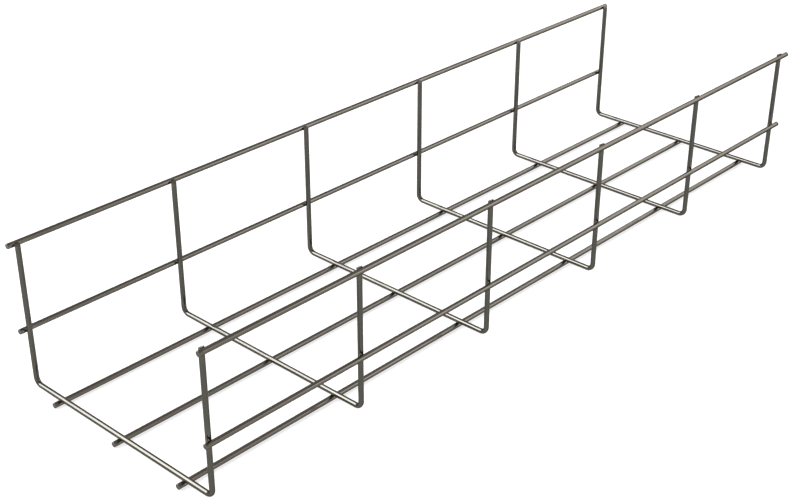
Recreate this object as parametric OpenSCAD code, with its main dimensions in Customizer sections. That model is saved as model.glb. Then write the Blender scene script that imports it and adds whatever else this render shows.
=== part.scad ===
// Wire mesh cable basket: an open trough for cables. Straight lengthwise wires
// are welded to the outside of U-shaped cross wires, in mesh of one pitch along
// the trough and another across its floor and up its walls.
// X runs along the trough, Y across it from front to back, and Z up. The origin
// is at the middle of the footprint, on the surface that the floor wires lie on.

/* [Wire] */
// Diameter of the bent cross wires
cross_wire_d = 3; // [2:0.25:5]
// Diameter of the straight lengthwise wires
long_wire_d = 3; // [2:0.25:5]
// How far each weld presses its two wires into each other
weld_sink = 0.15; // [0.05:0.05:0.3]
// Width of the bevel round each cut wire end
end_bevel = 0.2; // [0.1:0.05:0.4]

/* [Mesh] */
// Number of bays between the cross wires
bays = 5; // [1:1:12]
// Distance from one cross wire to the next, axis to axis
bay_length = 100; // [40:5:150]
// How far the straight wires run past the axis of each end cross wire
wire_overhang = 4.5; // [3:0.5:25]
// Distance from the centre floor wire to the floor wire on each side of it
floor_wire_pitch = 50; // [20:5:50]
// Distance from each side wire up to its rim wire
side_wire_pitch = 50; // [20:5:55]

/* [Trough] */
// Width over the side wires
outer_width = 150; // [140:5:300]
// Height over the rim wires
outer_height = 88; // [80:1:150]
// Inside radius of the bend at the foot of each leg
bend_radius = 2.5; // [1.5:0.5:6]

/* [Hidden] */

front = -1;
centre = 0;
back = 1;

// Distance between the axes of two wires that are welded where they cross
weld_offset = (cross_wire_d + long_wire_d) / 2 - weld_sink;
// Length of each straight wire, from one cut end to the other
long_wire_length = bays * bay_length + 2 * wire_overhang;

// Heights of the wires' axes
floor_wire_z = long_wire_d / 2;
cross_floor_z = floor_wire_z + weld_offset;
rim_wire_z = outer_height - long_wire_d / 2;
side_wire_z = rim_wire_z - side_wire_pitch;
// Each leg is cut level with the middle of its rim wire
leg_top_z = rim_wire_z;

// Distances of the walls' wire axes from the middle of the trough
wall_wire_y = (outer_width - long_wire_d) / 2;
leg_y = wall_wire_y - weld_offset;

// Radius of each bend along the wire's axis, and the height where its leg starts
bend_axis_r = bend_radius + cross_wire_d / 2;
leg_foot_z = cross_floor_z + bend_axis_r;

drawn_steel = [0.45, 0.42, 0.37];
bent_steel = [0.40, 0.39, 0.34];

$fn = 48;

// X of a cross wire's plane, with wire 1 at the left end
function cross_wire_x(number) = (number - 1 - bays / 2) * bay_length;

// The back leg of a cross wire with the bend at its foot
module leg_and_bend() {
    straight_h = leg_top_z - end_bevel - leg_foot_z;
    translate([0, leg_y - bend_axis_r, leg_foot_z])
        rotate([90, 0, 90])
            rotate(-90)
                rotate_extrude(angle = 90)
                    translate([bend_axis_r, 0])
                        circle(d = cross_wire_d);
    translate([0, leg_y, leg_foot_z]) {
        cylinder(d = cross_wire_d, h = straight_h);
        translate([0, 0, straight_h])
            cylinder(d1 = cross_wire_d, d2 = cross_wire_d - 2 * end_bevel, h = end_bevel);
    }
}

// One wire bent into a U: a leg, the floor run and the other leg
module cross_wire(number) {
    color(bent_steel)
        translate([cross_wire_x(number), 0, 0]) {
            translate([0, 0, cross_floor_z])
                rotate([90, 0, 0])
                    cylinder(d = cross_wire_d, h = 2 * (leg_y - bend_axis_r), center = true);
            leg_and_bend();
            mirror([0, 1, 0])
                leg_and_bend();
        }
}

// A straight wire along X whose welds are pressed onto every cross wire
module long_wire(y, z) {
    r = long_wire_d / 2;
    half = long_wire_length / 2;
    color(drawn_steel)
        difference() {
            translate([0, y, z])
                rotate([0, 90, 0])
                    rotate_extrude()
                        polygon([
                            [0, -half], [r - end_bevel, -half], [r, end_bevel - half],
                            [r, half - end_bevel], [r - end_bevel, half], [0, half]
                        ]);
            for (number = [1:bays + 1])
                cross_wire(number);
        }
}

// The floor wires lie under the cross wires and carry the basket
module floor_wire(side) {
    long_wire(side * floor_wire_pitch, floor_wire_z);
}

// The side wires run outside the legs, part of the way up
module side_wire(side) {
    long_wire(side * wall_wire_y, side_wire_z);
}

// The rim wires run outside the cut ends of the legs
module rim_wire(side) {
    long_wire(side * wall_wire_y, rim_wire_z);
}

for (number = [1:bays + 1])
    cross_wire(number);
floor_wire(front);  // floor_wire_front
floor_wire(centre);  // floor_wire_centre
floor_wire(back);  // floor_wire_back
side_wire(front);  // side_wire_front
side_wire(back);  // side_wire_back
rim_wire(front);  // rim_wire_front
rim_wire(back);  // rim_wire_back
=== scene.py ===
"""Looks of a welded wire basket: drawn steel wires, pressed welds and sheared wire ends."""

import math

import bmesh
import bpy
from mathutils import Euler, Matrix, Vector


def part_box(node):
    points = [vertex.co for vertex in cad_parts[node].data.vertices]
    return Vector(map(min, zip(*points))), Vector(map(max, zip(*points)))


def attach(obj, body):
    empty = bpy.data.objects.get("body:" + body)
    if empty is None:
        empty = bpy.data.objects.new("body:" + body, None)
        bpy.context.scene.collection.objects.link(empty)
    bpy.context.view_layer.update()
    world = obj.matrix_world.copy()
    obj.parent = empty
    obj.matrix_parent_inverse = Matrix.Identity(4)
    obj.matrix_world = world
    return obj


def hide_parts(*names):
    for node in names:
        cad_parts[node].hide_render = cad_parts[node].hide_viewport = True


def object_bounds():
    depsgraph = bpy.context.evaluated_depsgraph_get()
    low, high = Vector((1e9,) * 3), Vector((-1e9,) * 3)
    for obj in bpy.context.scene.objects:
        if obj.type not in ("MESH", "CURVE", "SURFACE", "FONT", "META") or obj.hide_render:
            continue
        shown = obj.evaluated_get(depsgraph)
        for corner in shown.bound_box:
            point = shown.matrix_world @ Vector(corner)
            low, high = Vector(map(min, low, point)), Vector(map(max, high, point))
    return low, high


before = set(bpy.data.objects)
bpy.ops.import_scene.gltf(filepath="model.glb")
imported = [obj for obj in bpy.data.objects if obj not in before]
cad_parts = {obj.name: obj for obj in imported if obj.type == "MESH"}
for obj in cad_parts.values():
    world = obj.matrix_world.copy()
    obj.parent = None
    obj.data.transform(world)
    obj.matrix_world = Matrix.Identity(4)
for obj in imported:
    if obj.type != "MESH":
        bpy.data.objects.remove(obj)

cad_box = [list(corner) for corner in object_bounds()]

MM = 0.001
FRONT, CENTRE, BACK = -1, 0, 1


# ---------------------------------------------------------------------------
# Sizes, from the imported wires
# ---------------------------------------------------------------------------

def box_middle(node):
    low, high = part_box(node)
    return (low + high) / 2


CROSS_WIRES = [f"cross_wire_{number}" for number in range(1, 7)]
STRAIGHT_WIRES = {
    "floor_wire_front": (FRONT, "floor"),
    "floor_wire_centre": (CENTRE, "floor"),
    "floor_wire_back": (BACK, "floor"),
    "side_wire_front": (FRONT, "wall"),
    "side_wire_back": (BACK, "wall"),
    "rim_wire_front": (FRONT, "rim"),
    "rim_wire_back": (BACK, "rim"),
}

wire_low, wire_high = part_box("floor_wire_centre")
cross_low, cross_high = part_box("cross_wire_1")
WIRE_R = (wire_high.z - wire_low.z) / 2
WIRE_END_X = wire_high.x
CROSS_X = [box_middle(node).x for node in CROSS_WIRES]
FLOOR_Z = cross_low.z + WIRE_R
LEG_Y = cross_high.y - WIRE_R
RIM_TOP_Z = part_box("rim_wire_back")[1].z
# Radius of a bend along the wire's axis
BEND_R = 4.0 * MM
FOOT_Z = FLOOR_Z + BEND_R
FLOOR_HALF = LEG_Y - BEND_R

# How deep the two wires of a weld are pressed into each other
WELD_SINK = 2 * WIRE_R - (FLOOR_Z - box_middle("floor_wire_centre").z)
# Height of the gap that the squeezed-out metal of a weld fills with a fillet
WELD_FILLET = 0.5 * MM
# How far from a weld its painted highlight shows: brighter colour that lightens the shade where the wires
# cross
WELD_HIGHLIGHT_REACH = 1.7 * MM

RING_SIDES = 48
BEND_STEPS = 16
FINE_STEP = 0.2 * MM
FINE_REACH = 2.0 * MM
LONG_STEP = 8.0 * MM
# Width of the bevel round each cut wire end
CUT_BEVEL = 0.2 * MM
# Slope of the cut across a leg: from its outer edge, level with the top of
# the rim wire, it falls towards the trough
LEG_CUT = math.radians(28)
LEG_TOP_Z = RIM_TOP_Z - 0.02 * MM
# Length drawn past that and then cut off
LEG_SPARE = 1.0 * MM


# ---------------------------------------------------------------------------
# Camera
# ---------------------------------------------------------------------------

def add_camera():
    data = bpy.data.cameras.new("camera")
    data.sensor_width = 36.0
    data.lens = 65.14
    data.shift_x = -0.0012
    data.shift_y = 0.0225
    data.clip_start = 0.01
    camera = bpy.data.objects.new("camera", data)
    camera.location = (-0.5835, -0.4990, 0.4232)
    camera.rotation_euler = Euler((math.radians(61.07), 0.0, math.radians(-47.04)))
    bpy.context.scene.collection.objects.link(camera)
    bpy.context.scene.camera = camera


add_camera()


# ---------------------------------------------------------------------------
# Node helpers
# ---------------------------------------------------------------------------

def add_node(tree, kind, values=None, **settings):
    """Add a node; `values` sets or links its inputs by name or index."""
    node = tree.nodes.new(kind)
    for name, value in settings.items():
        setattr(node, name, value)
    for name, value in (values or {}).items():
        socket = node.inputs[name]
        if isinstance(value, bpy.types.NodeSocket):
            tree.links.new(value, socket)
        else:
            socket.default_value = value
    return node


def maths(tree, operation, *terms, clamp=False):
    return add_node(tree, "ShaderNodeMath", dict(enumerate(terms)), operation=operation,
                    use_clamp=clamp).outputs[0]


def blend_colors(tree, kind, factor, first, second):
    node = add_node(tree, "ShaderNodeMix", data_type="RGBA", blend_type=kind)
    for socket, value in ((node.inputs[0], factor), (node.inputs[6], first), (node.inputs[7], second)):
        if isinstance(value, bpy.types.NodeSocket):
            tree.links.new(value, socket)
        else:
            socket.default_value = value
    return node.outputs[2]


def grey(tree, level):
    return add_node(tree, "ShaderNodeCombineColor", {0: level, 1: level, 2: level}).outputs[0]


def remap(tree, value, low, high, to_low, to_high):
    return add_node(tree, "ShaderNodeMapRange", {
        "Value": value, "From Min": low, "From Max": high, "To Min": to_low, "To Max": to_high,
    }).outputs[0]


def new_group(name, inputs, outputs):
    """A shader node group with named sockets; inputs are (type, default)."""
    tree = bpy.data.node_groups.new(name, "ShaderNodeTree")
    for label, (kind, default) in inputs.items():
        socket = tree.interface.new_socket(label, in_out="INPUT", socket_type=kind)
        if default is not None:
            socket.default_value = default
    for label, kind in outputs.items():
        tree.interface.new_socket(label, in_out="OUTPUT", socket_type=kind)
    return tree, tree.nodes.new("NodeGroupInput").outputs, tree.nodes.new("NodeGroupOutput").inputs


FLOAT, COLOR, VECTOR = "NodeSocketFloat", "NodeSocketColor", "NodeSocketVector"


# ---------------------------------------------------------------------------
# Finishes
# ---------------------------------------------------------------------------

def drawn_steel_group():
    """Lines of the drawing die and patina on a wire, and a painted highlight round its welds: brighter
    colour that lightens the shade where the wires cross.

    Run is a point's place in the wire laid straight, in metres: X along it.
    """
    tree, given, result = new_group(
        "drawn_steel_finish",
        {"Run": (VECTOR, None), "Weld Highlight": (FLOAT, 0.0), "Steel": (COLOR, (0.2, 0.2, 0.2, 1)),
         "Weld Highlight Color": (COLOR, (0.1, 0.1, 0.1, 1)), "Line Strength": (FLOAT, 0.1),
         "Patina Strength": (FLOAT, 0.1), "Roughness": (FLOAT, 0.2)},
        {"Color": COLOR, "Roughness": FLOAT, "Height": FLOAT})
    run = given["Run"]
    # die lines: long along the wire, a tenth of a millimetre across it
    line_place = add_node(tree, "ShaderNodeMapping", {"Vector": run, "Scale": (14.0, 7000.0, 7000.0)})
    lines = add_node(tree, "ShaderNodeTexNoise", {
        "Vector": line_place.outputs[0], "Scale": 1.0, "Detail": 3.0, "Roughness": 0.6}).outputs["Fac"]
    # patina: soft stretched clouds some millimetres long
    patina_place = add_node(tree, "ShaderNodeMapping", {"Vector": run, "Scale": (45.0, 420.0, 420.0)})
    patina = add_node(tree, "ShaderNodeTexNoise", {
        "Vector": patina_place.outputs[0], "Scale": 1.0, "Detail": 4.0, "Roughness": 0.55}).outputs["Fac"]
    # handling marks: sparse small nicks
    nick_place = add_node(tree, "ShaderNodeMapping", {"Vector": run, "Scale": (260.0, 900.0, 900.0)})
    nick_cells = add_node(tree, "ShaderNodeTexVoronoi", {"Vector": nick_place.outputs[0], "Scale": 1.0})
    nicks = remap(tree, nick_cells.outputs["Distance"], 0.05, 0.14, 1.0, 0.0)

    line_swing = maths(tree, "SUBTRACT", lines, 0.5)
    patina_swing = maths(tree, "SUBTRACT", patina, 0.5)
    line_share = maths(tree, "MULTIPLY", line_swing, given["Line Strength"])
    patina_share = maths(tree, "MULTIPLY", patina_swing, given["Patina Strength"])
    tone = maths(tree, "ADD", maths(tree, "ADD", line_share, patina_share), 1.0)
    steel = blend_colors(tree, "MULTIPLY", 1.0, given["Steel"], grey(tree, tone))
    # painted highlight: the welds' brighter colour, mottled by the patina, lightens the shade where the
    # wires cross
    weld = maths(tree, "MULTIPLY", given["Weld Highlight"], remap(tree, patina, 0.3, 0.7, 0.5, 1.0), clamp=True)
    color = blend_colors(tree, "MIX", weld, steel, given["Weld Highlight Color"])
    tree.links.new(color, result["Color"])

    roughness = maths(tree, "ADD", given["Roughness"], maths(tree, "MULTIPLY", patina_swing, 0.10))
    roughness = maths(tree, "ADD", roughness, maths(tree, "MULTIPLY", line_swing, 0.06))
    roughness = maths(tree, "ADD", roughness, maths(tree, "MULTIPLY", weld, 0.05))
    roughness = maths(tree, "ADD", roughness, maths(tree, "MULTIPLY", nicks, 0.12), clamp=True)
    tree.links.new(roughness, result["Roughness"])
    height = maths(tree, "SUBTRACT", maths(tree, "MULTIPLY", lines, 0.4), nicks)
    tree.links.new(height, result["Height"])
    return tree


DRAWN_STEEL = drawn_steel_group()


def steel_material(name, steel, weld_highlight_color, roughness, edge):
    """A drawn wire's steel; `edge` is how bright it stays where it turns away from view, a low value
    painting shade along the wire's rims.
    """
    material = bpy.data.materials.new(name)
    material.use_nodes = True
    tree = material.node_tree
    tree.nodes.clear()
    run = add_node(tree, "ShaderNodeAttribute", attribute_name="wire_run").outputs["Vector"]
    # how strongly each point shows the painted highlight round the welds
    weld = add_node(tree, "ShaderNodeAttribute", attribute_name="weld_highlight").outputs["Fac"]
    finish = add_node(tree, "ShaderNodeGroup", node_tree=DRAWN_STEEL)
    for label, value in (("Run", run), ("Weld Highlight", weld)):
        tree.links.new(value, finish.inputs[label])
    finish.inputs["Steel"].default_value = (*steel, 1.0)
    # colour of the painted highlight round the welds
    finish.inputs["Weld Highlight Color"].default_value = (*weld_highlight_color, 1.0)
    finish.inputs["Line Strength"].default_value = 0.30
    finish.inputs["Patina Strength"].default_value = 0.22
    finish.inputs["Roughness"].default_value = roughness
    bump = add_node(tree, "ShaderNodeBump", {
        "Strength": 0.25, "Distance": 0.02 * MM, "Height": finish.outputs["Height"]})
    shader = add_node(tree, "ShaderNodeBsdfPrincipled", {
        "Base Color": finish.outputs["Color"], "Metallic": 1.0,
        "Roughness": finish.outputs["Roughness"], "Normal": bump.outputs[0],
        "Specular Tint": (edge, edge, edge, 1.0)})
    output = add_node(tree, "ShaderNodeOutputMaterial")
    tree.links.new(shader.outputs[0], output.inputs["Surface"])
    return material


def cut_material():
    """A sheared wire end: a burnished band where the blade entered, torn grain below it."""
    material = bpy.data.materials.new("sheared_steel")
    material.use_nodes = True
    tree = material.node_tree
    tree.nodes.clear()
    run = add_node(tree, "ShaderNodeAttribute", attribute_name="wire_run").outputs["Vector"]
    parts = add_node(tree, "ShaderNodeSeparateXYZ", {0: run})
    torn = remap(tree, parts.outputs["Z"], -0.2 * MM, 0.5 * MM, 1.0, 0.0)
    grain = add_node(tree, "ShaderNodeTexNoise", {
        "Vector": run, "Scale": 5200.0, "Detail": 4.0, "Roughness": 0.65}).outputs["Fac"]
    blade_place = add_node(tree, "ShaderNodeMapping", {"Vector": run, "Scale": (600.0, 6500.0, 500.0)})
    blade_lines = add_node(tree, "ShaderNodeTexNoise", {
        "Vector": blade_place.outputs[0], "Scale": 1.0, "Detail": 2.0}).outputs["Fac"]
    relief = add_node(tree, "ShaderNodeMix", {0: torn, 2: blade_lines, 3: grain},
                      data_type="FLOAT").outputs[0]
    # Both colours are painted dark: shade that stands for dark surroundings in the sheared ends'
    # reflection, as on the wires' steel.
    color = blend_colors(tree, "MIX", relief, (0.048, 0.044, 0.037, 1.0), (0.115, 0.105, 0.090, 1.0))
    roughness = remap(tree, torn, 0.0, 1.0, 0.32, 0.55)
    bump = add_node(tree, "ShaderNodeBump", {"Strength": 0.5, "Distance": 0.05 * MM, "Height": relief})
    shader = add_node(tree, "ShaderNodeBsdfPrincipled", {
        "Base Color": color, "Metallic": 1.0, "Roughness": roughness, "Normal": bump.outputs[0]})
    output = add_node(tree, "ShaderNodeOutputMaterial")
    tree.links.new(shader.outputs[0], output.inputs["Surface"])
    return material


# Painted shade: both steels are far darker than bare steel, standing for the dark surroundings the wires
# reflect, and their low edge values dim the rims. The cross wires' steel is a darker copy of the same
# steel, painted shade for the dark ground their legs reflect.
# The second colour of each steel is its painted weld highlight: brighter colour that lightens the shade
# where the wires cross.
STRAIGHT_STEEL_PAINTED_DARK = steel_material("straight_wire_steel_painted_dark", (0.121, 0.110, 0.092), (0.240, 0.220, 0.188),
                                roughness=0.12, edge=0.2)
BENT_STEEL_PAINTED_DARKER = steel_material("cross_wire_steel_painted_darker", (0.077, 0.074, 0.061), (0.180, 0.170, 0.145),
                            roughness=0.11, edge=0.5)
CUT_STEEL = cut_material()


# ---------------------------------------------------------------------------
# Wires
# ---------------------------------------------------------------------------

def stations(start, end, welds):
    """Places of a wire's rings from start to end, close together round each weld."""
    marks = {start, end}
    low, high = min(start, end), max(start, end)
    reach = round(FINE_REACH / FINE_STEP)
    for weld in welds:
        for step in range(-reach, reach + 1):
            place = weld + step * FINE_STEP
            if low < place < high:
                marks.add(place)
    ordered = sorted(marks)
    places = [ordered[0]]
    for mark in ordered[1:]:
        span = mark - places[-1]
        parts = max(1, math.ceil(span / LONG_STEP))
        places += [places[-1] + span * part / parts for part in range(1, parts)] + [mark]
    return places if start < end else places[::-1]


def first_ring(bm, centre, turn):
    """The wire's open end: a ring round `centre` that faces the way `turn` gives."""
    place = Matrix.Translation(centre) @ turn
    bmesh.ops.create_circle(bm, segments=RING_SIDES, radius=WIRE_R, matrix=place)
    return list(bm.edges)


def grow(bm, ring):
    """Extrude a ring on the spot; returns the new ring's edges and vertices."""
    made = bmesh.ops.extrude_edge_only(bm, edges=ring)["geom"]
    verts = [item for item in made if isinstance(item, bmesh.types.BMVert)]
    fresh = set(verts)
    edges = [item for item in made if isinstance(item, bmesh.types.BMEdge) and set(item.verts) <= fresh]
    return edges, verts


def draw_straight(bm, ring, places, direction):
    """Extrude a ring along `direction` through the given places."""
    for here, there in zip(places, places[1:]):
        ring, verts = grow(bm, ring)
        bmesh.ops.translate(bm, verts=verts, vec=direction * abs(there - here))
    return ring


def draw_bend(bm, ring, centre):
    """Turn a ring a quarter circle about a line along X through `centre`."""
    step = Matrix.Rotation(math.pi / 2 / BEND_STEPS, 3, "X")
    for _ in range(BEND_STEPS):
        ring, verts = grow(bm, ring)
        bmesh.ops.rotate(bm, verts=verts, cent=centre, matrix=step)
    return ring


def cut_leg(bm, x, side):
    """Cut the spare length off a leg along the slope."""
    verts = [vert for vert in bm.verts if vert.co.y * side > 0 and vert.co.z > LEG_TOP_Z - 3 * WIRE_R]
    top = set(verts)
    edges = [edge for edge in bm.edges if set(edge.verts) <= top]
    faces = [face for face in bm.faces if set(face.verts) <= top]
    bmesh.ops.bisect_plane(bm, geom=verts + edges + faces, dist=0.001 * MM,
                           plane_co=(x, side * (LEG_Y + WIRE_R), LEG_TOP_Z),
                           plane_no=(0, -side * math.sin(LEG_CUT), math.cos(LEG_CUT)), clear_outer=True)


def close_ends(bm):
    """Cap both open ends and break their edges; the caps get the cut finish."""
    rims = [edge for edge in bm.edges if edge.is_boundary]
    caps = bmesh.ops.holes_fill(bm, edges=rims)["faces"]
    rims = [edge for cap in caps for edge in cap.edges]
    bmesh.ops.bevel(bm, geom=rims, offset=CUT_BEVEL, offset_type="OFFSET", segments=3,
                    profile=0.5, affect="EDGES", material=-1, clamp_overlap=True)
    for face in bm.faces:
        if len(face.verts) > 4:
            face.material_index = 1
            face.smooth = False
            for edge in face.edges:
                edge.smooth = False


def weld_push(gap):
    """How far a surface moves towards the other wire of a weld, `gap` away from it.

    The two surfaces meet half way where they are pressed together, and a
    fillet of squeezed-out metal closes the narrow gap round that.
    """
    if gap < WELD_FILLET / 2:
        return gap / 2
    if gap < WELD_FILLET:
        return (gap - math.sqrt(WELD_FILLET * (2 * gap - WELD_FILLET))) / 2
    return 0.0


def press_welds(bm, unbend, welds):
    """Store each point's place on the straightened wire, then press in its welds.

    `unbend` gives (along, towards the other wires, across) and the direction
    of the other wires.
    """
    run = bm.verts.layers.float_vector.new("wire_run")
    # painted highlight: how strongly each point shows the brighter colour round a weld, which lightens the
    # shade where the wires cross
    weld_highlight = bm.verts.layers.float.new("weld_highlight")
    for vert in bm.verts:
        (along, towards, across), direction = unbend(vert.co)
        vert[run] = Vector((along, across, towards))
        for weld in welds:
            offset = along - weld
            if abs(offset) > 6 * WELD_HIGHLIGHT_REACH:
                continue
            depth = WIRE_R - towards
            distance = math.hypot(offset, depth, across / 2)
            vert[weld_highlight] = max(vert[weld_highlight], math.exp(-((distance / WELD_HIGHLIGHT_REACH) ** 2)))
            if abs(offset) < WIRE_R and towards > 0:
                rise = WIRE_R - math.sqrt(WIRE_R ** 2 - offset ** 2)
                gap = depth + rise - WELD_SINK
                vert.co += direction * weld_push(gap)


def finish_wire(bm, name, steel):
    """Make the wire's object, which stands for its CAD node."""
    bmesh.ops.recalc_face_normals(bm, faces=bm.faces)
    for face in bm.faces:
        face.smooth = face.material_index == 0
    mesh = bpy.data.meshes.new(name)
    bm.to_mesh(mesh)
    bm.free()
    mesh.materials.append(steel)
    mesh.materials.append(CUT_STEEL)
    piece = bpy.data.objects.new(f"{name}_drawn", mesh)
    bpy.context.scene.collection.objects.link(piece)
    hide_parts(name)
    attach(piece, "root")


def straight_wire(name, side, place):
    middle = box_middle(name)
    to_cross = Vector((0, 0, 1)) if place == "floor" else Vector((0, -side, 0))
    sideways = Vector((0, 1, 0)) if place == "floor" else Vector((0, 0, 1))
    bm = bmesh.new()
    start = Vector((-WIRE_END_X, middle.y, middle.z))
    ring = first_ring(bm, start, Matrix.Rotation(math.pi / 2, 4, "Y"))
    draw_straight(bm, ring, stations(-WIRE_END_X, WIRE_END_X, CROSS_X), Vector((1, 0, 0)))
    close_ends(bm)

    def unbend(point):
        offset = point - middle
        return (offset.x, offset.dot(to_cross), offset.dot(sideways)), to_cross

    press_welds(bm, unbend, CROSS_X)
    finish_wire(bm, name, STRAIGHT_STEEL_PAINTED_DARK)


# Along the straightened cross wire, from the middle of its floor run
BEND_LENGTH = BEND_R * math.pi / 2


def along_leg(height):
    return FLOOR_HALF + BEND_LENGTH + height - FOOT_Z


def cross_wire_welds():
    floor = [box_middle(name).y for name, (_, place) in STRAIGHT_WIRES.items() if place == "floor"]
    legs = [along_leg(box_middle(name).z) for name in ("side_wire_back", "rim_wire_back")]
    return floor + legs + [-place for place in legs]


def cross_wire(name):
    x = box_middle(name).x
    side_z = box_middle("side_wire_back").z
    rim_z = box_middle("rim_wire_back").z
    bm = bmesh.new()
    spare_z = LEG_TOP_Z + LEG_SPARE
    ring = first_ring(bm, Vector((x, -LEG_Y, spare_z)), Matrix.Identity(4))
    leg_heights = stations(spare_z, FOOT_Z, [side_z, rim_z])
    floor_places = stations(-FLOOR_HALF, FLOOR_HALF, [w for w in cross_wire_welds() if abs(w) < FLOOR_HALF])
    ring = draw_straight(bm, ring, leg_heights, Vector((0, 0, -1)))
    ring = draw_bend(bm, ring, Vector((x, -FLOOR_HALF, FOOT_Z)))
    ring = draw_straight(bm, ring, floor_places, Vector((0, 1, 0)))
    ring = draw_bend(bm, ring, Vector((x, FLOOR_HALF, FOOT_Z)))
    draw_straight(bm, ring, leg_heights[::-1], Vector((0, 0, 1)))
    for side in (FRONT, BACK):
        cut_leg(bm, x, side)
    close_ends(bm)

    def unbend(point):
        side = BACK if point.y > 0 else FRONT
        across = point.x - x
        if point.z > FOOT_Z:
            outward = Vector((0, side, 0))
            return (side * along_leg(point.z), abs(point.y) - LEG_Y, across), outward
        if abs(point.y) <= FLOOR_HALF:
            return (point.y, FLOOR_Z - point.z, across), Vector((0, 0, -1))
        arm = Vector((0, abs(point.y) - FLOOR_HALF, point.z - FOOT_Z))
        turned = math.atan2(arm.y, -arm.z)
        outward = Vector((0, side * math.sin(turned), -math.cos(turned)))
        return (side * (FLOOR_HALF + BEND_R * turned), arm.length - BEND_R, across), outward

    press_welds(bm, unbend, cross_wire_welds())
    finish_wire(bm, name, BENT_STEEL_PAINTED_DARKER)


for wire, (wire_side, wire_place) in STRAIGHT_WIRES.items():
    straight_wire(wire, wire_side, wire_place)
for wire in CROSS_WIRES:
    cross_wire(wire)


# ---------------------------------------------------------------------------
# Floor, world and lamps
# ---------------------------------------------------------------------------

def seen_directly(tree):
    """1 for rays that show a background: to the camera, off metal or through glass."""
    path = add_node(tree, "ShaderNodeLightPath").outputs
    seen = maths(tree, "ADD", path["Is Camera Ray"], path["Is Glossy Ray"])
    return maths(tree, "ADD", seen, path["Is Transmission Ray"], clamp=True)


# Share of white that the floor shows by itself; the lamps' light on it gives the rest
FLOOR_GLOW = 0.72


def add_floor():
    material = bpy.data.materials.new("pale_floor")
    material.use_nodes = True
    tree = material.node_tree
    tree.nodes.clear()
    grain = add_node(tree, "ShaderNodeTexNoise", {
        "Vector": add_node(tree, "ShaderNodeTexCoord").outputs["Object"], "Scale": 3.0, "Detail": 2.0})
    tone = remap(tree, grain.outputs["Fac"], 0.0, 1.0, 0.34, 0.36)
    diffuse = add_node(tree, "ShaderNodeBsdfDiffuse", {"Color": grey(tree, tone)})
    # the lamps light only the middle of the floor, so the glow makes up for them farther out
    place = add_node(tree, "ShaderNodeNewGeometry").outputs["Position"]
    distance = add_node(tree, "ShaderNodeVectorMath", {0: place}, operation="LENGTH").outputs["Value"]
    strength = remap(tree, distance, 0.7, 2.0, FLOOR_GLOW, 1.0)
    glow = add_node(tree, "ShaderNodeEmission", {
        "Color": (1, 1, 1, 1), "Strength": maths(tree, "MULTIPLY", seen_directly(tree), strength)})
    both = add_node(tree, "ShaderNodeAddShader", {0: diffuse.outputs[0], 1: glow.outputs[0]})
    output = add_node(tree, "ShaderNodeOutputMaterial")
    tree.links.new(both.outputs[0], output.inputs["Surface"])

    bm = bmesh.new()
    bmesh.ops.create_grid(bm, x_segments=1, y_segments=1, size=4.0)
    mesh = bpy.data.meshes.new("floor")
    bm.to_mesh(mesh)
    bm.free()
    mesh.materials.append(material)
    floor = bpy.data.objects.new("floor", mesh)
    floor.location.z = cad_box[0][2]
    bpy.context.scene.collection.objects.link(floor)


def add_world():
    """White studio walls under a darker ceiling."""
    world = bpy.data.worlds.new("studio")
    bpy.context.scene.world = world
    world.use_nodes = True
    tree = world.node_tree
    tree.nodes.clear()
    direction = add_node(tree, "ShaderNodeTexCoord").outputs["Generated"]
    height = add_node(tree, "ShaderNodeSeparateXYZ", {0: direction}).outputs["Z"]
    ceiling = remap(tree, height, 0.62, 0.9, 0.0, 1.0)
    color = blend_colors(tree, "MIX", ceiling, (1.0, 1.0, 1.0, 1.0), (0.44, 0.41, 0.37, 1.0))
    strength = remap(tree, seen_directly(tree), 0.0, 1.0, 0.45, 1.0)
    background = add_node(tree, "ShaderNodeBackground", {"Color": color, "Strength": strength})
    output = add_node(tree, "ShaderNodeOutputWorld")
    tree.links.new(background.outputs[0], output.inputs["Surface"])


def add_softbox(name, azimuth, elevation, distance, width, height, radiance, color):
    """An area lamp that faces the basket's middle; azimuth 0 is +X and 90 is +Y."""
    az, el = math.radians(azimuth), math.radians(elevation)
    direction = Vector((math.cos(el) * math.cos(az), math.cos(el) * math.sin(az), math.sin(el)))
    data = bpy.data.lights.new(name, "AREA")
    data.shape = "RECTANGLE"
    data.size, data.size_y = width, height
    data.energy = radiance * math.pi * width * height
    data.color = color
    lamp = bpy.data.objects.new(name, data)
    lamp.location = direction * distance
    lamp.rotation_euler = direction.to_track_quat("Z", "Y").to_euler()
    bpy.context.scene.collection.objects.link(lamp)


add_floor()
add_world()
COOL_WHITE = (0.98, 0.985, 1.08)
add_softbox("key_softbox", 120, 36, 2.0, 1.5, 1.6, 11.2, COOL_WHITE)
add_softbox("side_softbox", 152, 33, 2.0, 0.9, 0.8, 5.0, COOL_WHITE)
add_softbox("fill_softbox", -14, 26, 2.0, 3.6, 1.2, 2.1, (0.97, 1.0, 1.05))

bpy.context.scene.view_settings.view_transform = "Standard"
